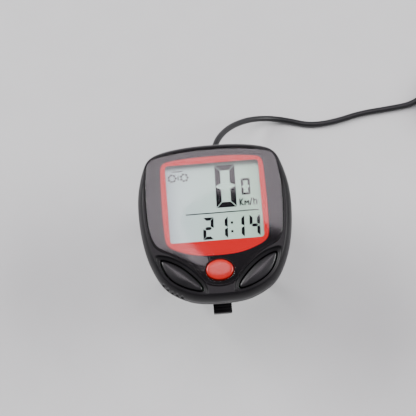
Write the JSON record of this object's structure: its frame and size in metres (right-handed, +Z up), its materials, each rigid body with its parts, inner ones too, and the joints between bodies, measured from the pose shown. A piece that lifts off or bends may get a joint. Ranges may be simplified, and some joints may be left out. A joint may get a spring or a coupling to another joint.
{
  "type": "cycling computer",
  "caption": "Wired handlebar cycling computer with display head, slide-on bracket for a 25.4 mm bar, cable ties, and a fork sensor on a coiled lead.",
  "frame": {"origin": "on the axis of the clamped handlebar, at the middle of the bracket", "axes": "+X along the handlebar to the rider's right, +Y forwards along the bicycle, +Z up out of the display"},
  "size_m": [0.1439, 0.0876, 0.0492],
  "materials": {
    "case_black": "fine moulded texture, satin",
    "case_rear": "fine moulded texture",
    "face_clear": "polished clear",
    "print_black": "ink behind clear plastic",
    "print_red": "ink behind clear plastic",
    "key_red": "satin moulded",
    "key_black": "satin moulded",
    "display_glass": "polished",
    "display_back": "pale grey-green reflector",
    "display_ink": "dark liquid crystal",
    "holder_white": "moulded",
    "rubber_black": "matt rubber",
    "rubber_grey": "silicone",
    "board_green": "solder mask over glass epoxy",
    "resin_black": "cured resin",
    "component_tan": "ceramic",
    "steel_bright": "bright",
    "spring_brass": "sprung brass",
    "nylon_black": "cable tie nylon",
    "sheath_black": "flexible PVC",
    "glass_capsule": "drawn glass"
  },
  "bodies": {
    "bracket": {"bracket_base": "case_rear", "bracket_pad": "rubber_black", "latch_spring": "steel_bright", "pin_springs": "spring_brass", "strain_relief": "rubber_black", "cable_tie_left": "nylon_black", "cable_tie_right": "nylon_black", "lead_run": "sheath_black", "lead_coil": "sheath_black", "coil_tie": "nylon_black", "lead_tail": "sheath_black", "sensor_housing": "case_black", "sensor_base": "case_rear", "sensor_pad": "rubber_black", "reed_switch": "glass_capsule", "sensor_strain_relief": "rubber_black"},
    "head": {"front_case": "case_black", "rear_case": "case_rear", "case_screws": "steel_bright", "case_gasket": "rubber_black", "lens": "face_clear", "lens_black_print": "print_black", "lens_red_print": "print_red", "display_front_glass": "display_glass", "display_rear_glass": "display_glass", "display_reflector": "display_back", "display_segments": "display_ink", "display_holder": "holder_white", "zebra_strip": "rubber_grey", "circuit_board": "board_green", "processor": "resin_black", "crystal": "steel_bright", "board_components": "component_tan", "key_domes": "steel_bright", "key_rubbers": "rubber_grey", "battery": "steel_bright", "battery_top_contact": "spring_brass", "rear_contacts": "spring_brass", "contact_springs": "spring_brass"},
    "cover": {"battery_cover": "case_rear", "battery_cover_seal": "rubber_black", "battery_cover_contact": "spring_brass"},
    "latch": {"release_latch": "case_rear"},
    "pin_left": {"contact_pin_left": "spring_brass"},
    "pin_right": {"contact_pin_right": "spring_brass"},
    "centre_button": {"centre_key": "key_red"},
    "left_button": {"left_key": "key_black"},
    "right_button": {"right_key": "key_black"}
  },
  "joints": [
    {"name": "head_slide", "type": "slide", "parent": "bracket", "child": "head", "axis": [0, 1, 0], "range_m": [0, 0.0275], "deforming": ["release_latch"]},
    {"name": "release_latch_press", "type": "hinge", "parent": "bracket", "child": "latch", "pos_m": [0, -0.008, 0.0179], "axis": [1, 0, 0], "range_deg": [0, 9], "stiffness_Nm_per_rad": 0.5, "springref_deg": -1.72, "deforming": ["latch_spring"]},
    {"name": "centre_button_press", "type": "slide", "parent": "head", "child": "centre_button", "axis": [0, 0, -1], "range_m": [0, 0.0007], "stiffness_N_per_m": 2000, "springref_m": -0.0001, "deforming": ["key_rubbers"]},
    {"name": "left_button_press", "type": "slide", "parent": "head", "child": "left_button", "axis": [0, 0, -1], "range_m": [0, 0.0006], "stiffness_N_per_m": 2000, "springref_m": -0.0001, "deforming": ["key_rubbers"]},
    {"name": "right_button_press", "type": "slide", "parent": "head", "child": "right_button", "axis": [0, 0, -1], "range_m": [0, 0.0006], "stiffness_N_per_m": 2000, "springref_m": -0.0001, "deforming": ["key_rubbers"]},
    {"name": "battery_cover_turn", "type": "hinge", "parent": "head", "child": "cover", "pos_m": [0, 0.014, 0.021], "axis": [0, 0, -1], "range_deg": [0, 60]},
    {"name": "contact_pin_left_press", "type": "slide", "parent": "bracket", "child": "pin_left", "axis": [0, 0, -1], "range_m": [0, 0.0005], "stiffness_N_per_m": 800, "springref_m": -0.0002, "deforming": ["pin_springs"]},
    {"name": "contact_pin_right_press", "type": "slide", "parent": "bracket", "child": "pin_right", "axis": [0, 0, -1], "range_m": [0, 0.0005], "stiffness_N_per_m": 800, "springref_m": -0.0002, "deforming": ["pin_springs"]}
  ]
}
